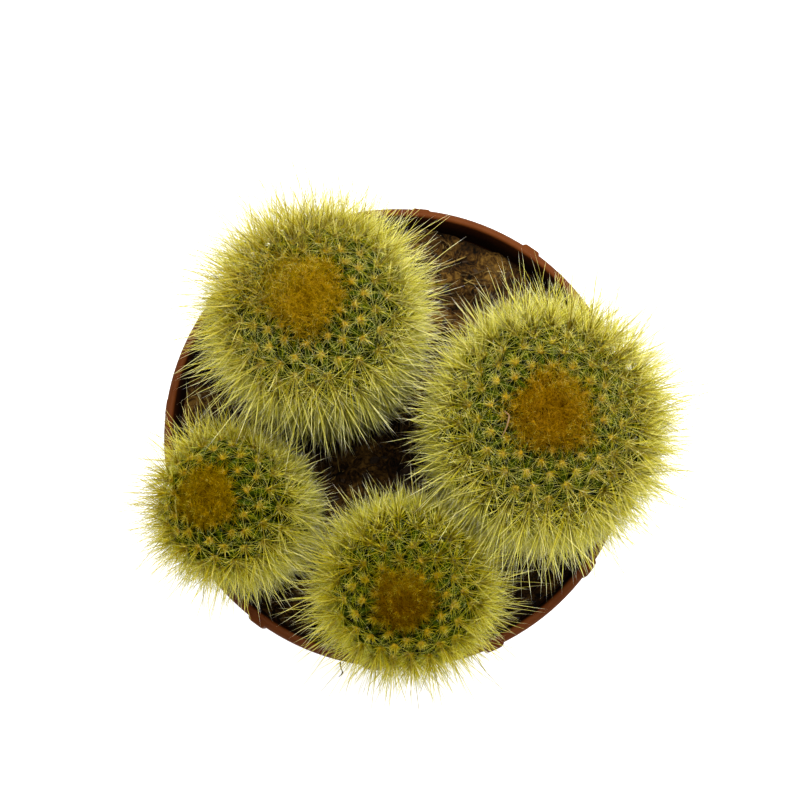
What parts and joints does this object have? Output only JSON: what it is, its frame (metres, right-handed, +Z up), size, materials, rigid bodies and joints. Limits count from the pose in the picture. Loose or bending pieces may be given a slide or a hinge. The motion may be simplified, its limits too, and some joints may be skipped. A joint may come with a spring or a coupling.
{
  "type": "potted round cactus",
  "caption": "Short columnar cactus stems with dense golden spines and woolly crowns, in dark soil in a round brown plastic nursery pot.",
  "frame": {"origin": "middle of the pot's underside, on the surface that it stands on", "axes": "+Z up, +Y towards the back of the plant, +X towards the largest stem"},
  "size_m": [0.1381, 0.1317, 0.1643],
  "materials": {
    "pot_plastic": "satin",
    "potting_mix": "matte",
    "cactus_stem": "satin",
    "spines": "satin",
    "wool": "matte"
  },
  "bodies": {
    "root": {"pot": "pot_plastic", "soil": "potting_mix", "stem_back_left": "cactus_stem", "stem_right": "cactus_stem", "stem_front_left": "cactus_stem", "stem_front": "cactus_stem"}
  },
  "joints": []
}
